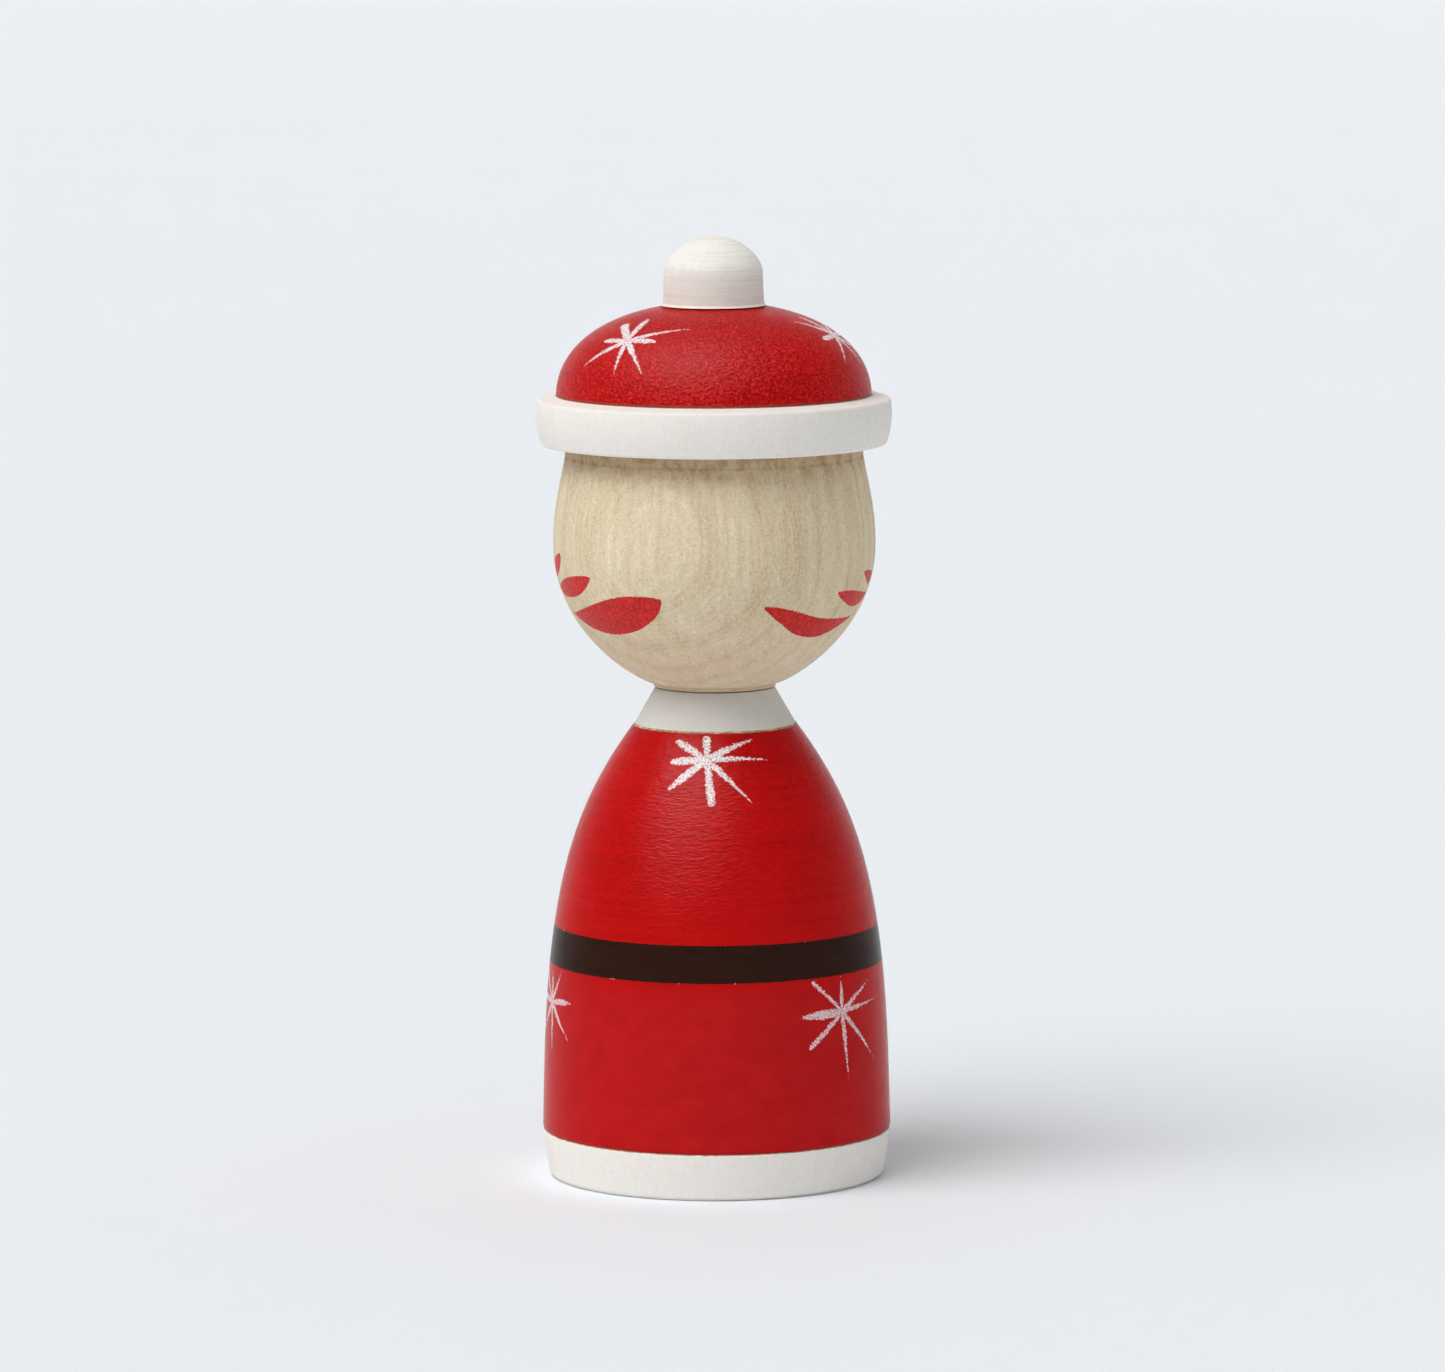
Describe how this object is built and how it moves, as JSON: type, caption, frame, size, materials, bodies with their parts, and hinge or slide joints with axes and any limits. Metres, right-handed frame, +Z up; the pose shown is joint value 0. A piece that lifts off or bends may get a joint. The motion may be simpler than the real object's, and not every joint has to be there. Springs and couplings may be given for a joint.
{
  "type": "kokeshi doll",
  "caption": "Turned wooden kokeshi doll with a head that turns on its body and a bobble hat that lifts off, standing on a flat base.",
  "frame": {"origin": "middle of the flat base that the doll stands on", "axes": "+Z up along the axis that all the pieces are turned on, -Y the way the face looks"},
  "size_m": [0.0452, 0.0452, 0.1202],
  "materials": {
    "bare_wood": "waxed bare wood",
    "red_paint": "brushed red paint on wood, satin",
    "white_paint": "thin white paint on wood, matt",
    "dark_paint": "brushed dark brown paint on wood, satin",
    "silver_paint": "dry-brushed silver white paint"
  },
  "bodies": {
    "body": {"body": "red_paint"},
    "head": {"head": "bare_wood"},
    "hat": {"hat": "red_paint", "bobble": "white_paint"}
  },
  "joints": [
    {"name": "head_turn", "type": "hinge", "parent": "body", "child": "head", "pos_m": [0, 0, 0.0627], "axis": [0, 0, 1], "continuous": true},
    {"name": "hat_lift", "type": "slide", "parent": "head", "child": "hat", "axis": [0, 0, 1], "range_m": [0, 0.025]}
  ]
}
